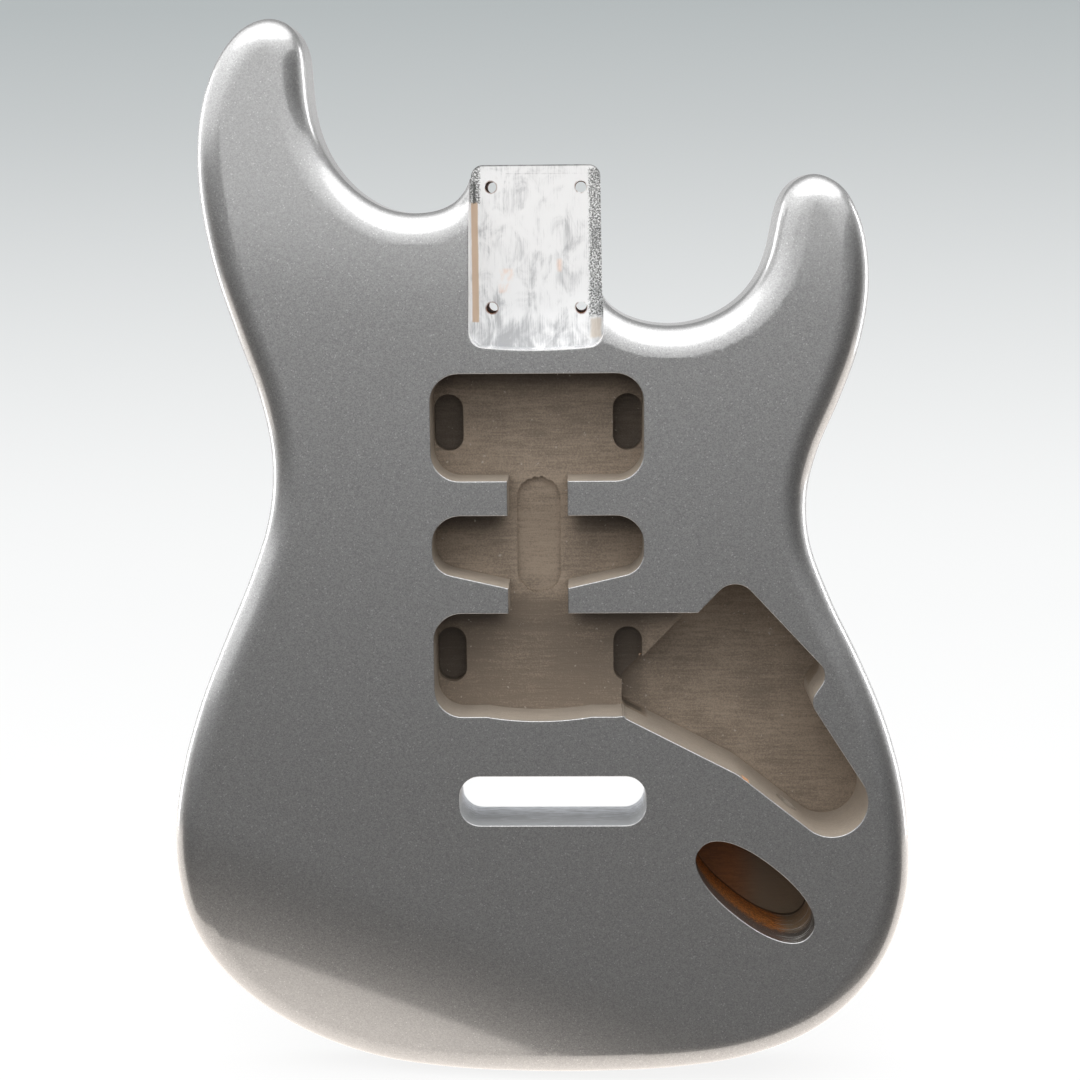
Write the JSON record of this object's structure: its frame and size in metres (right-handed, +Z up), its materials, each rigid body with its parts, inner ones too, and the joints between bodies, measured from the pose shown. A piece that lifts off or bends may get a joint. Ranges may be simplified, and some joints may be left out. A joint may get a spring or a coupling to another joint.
{
  "type": "electric guitar body",
  "caption": "Bare double-cutaway solid body for an electric guitar, with neck pocket, pickup routes, control cavity, jack route, bridge slot and rear spring cavity.",
  "frame": {"origin": "on the floor of the neck pocket, midway between the neck bolt holes", "axes": "+Z up the body's centre line towards the neck, -Y out of the front face, +X to the treble side (the short horn and the jack)"},
  "size_m": [0.325, 0.0445, 0.4668],
  "materials": {
    "lacquered_wood": "mid-grey metallic lacquer over the wood, glossy, with a fine sparkle; routes sprayed thin and matte"
  },
  "bodies": {
    "root": {"bass_side_board": "lacquered_wood", "centre_board": "lacquered_wood", "treble_side_board": "lacquered_wood"}
  },
  "joints": []
}
